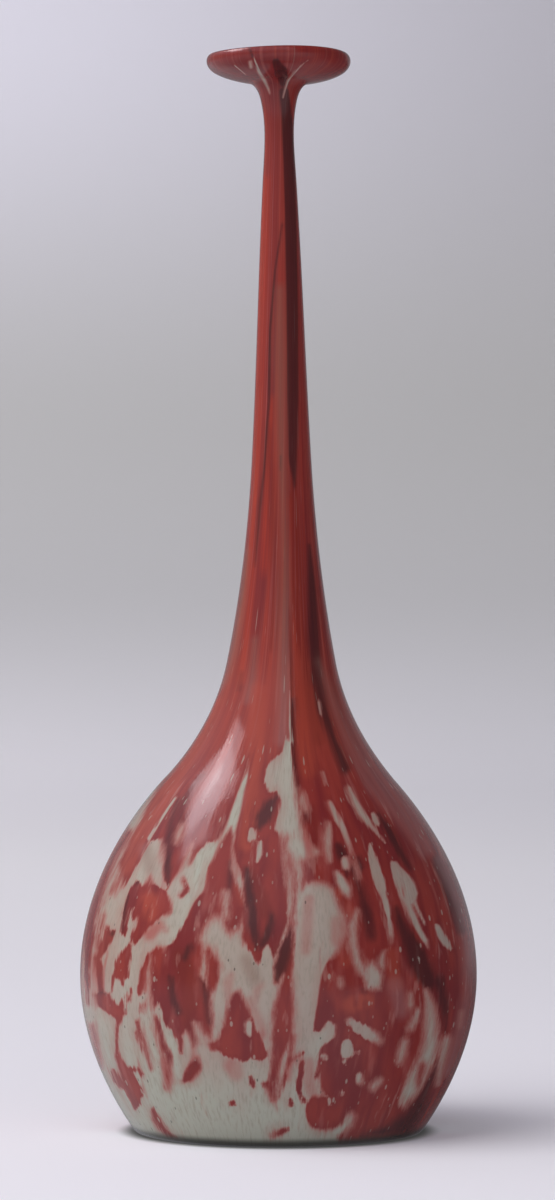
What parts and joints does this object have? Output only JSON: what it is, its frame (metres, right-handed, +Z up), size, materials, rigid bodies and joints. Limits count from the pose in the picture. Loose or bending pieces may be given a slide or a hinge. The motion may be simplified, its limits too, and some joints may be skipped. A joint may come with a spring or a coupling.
{
  "type": "glass bottle",
  "caption": "Free-blown marbled glass bottle with a squat round body, a long tapering neck and a wide flat lip, standing on a flat ring.",
  "frame": {"origin": "centre of the resting ring, on the surface that the bottle stands on", "axes": "+Z up along the neck; -Y is the side that the picture shows, and +X is to its right"},
  "size_m": [0.1216, 0.1214, 0.3303],
  "materials": {
    "marbled_glass": "nearly opaque glass, brick red marbled into milky greenish grey, smooth and fire-polished with seeds and a few pits"
  },
  "bodies": {
    "root": {"bottle": "marbled_glass"}
  },
  "joints": []
}
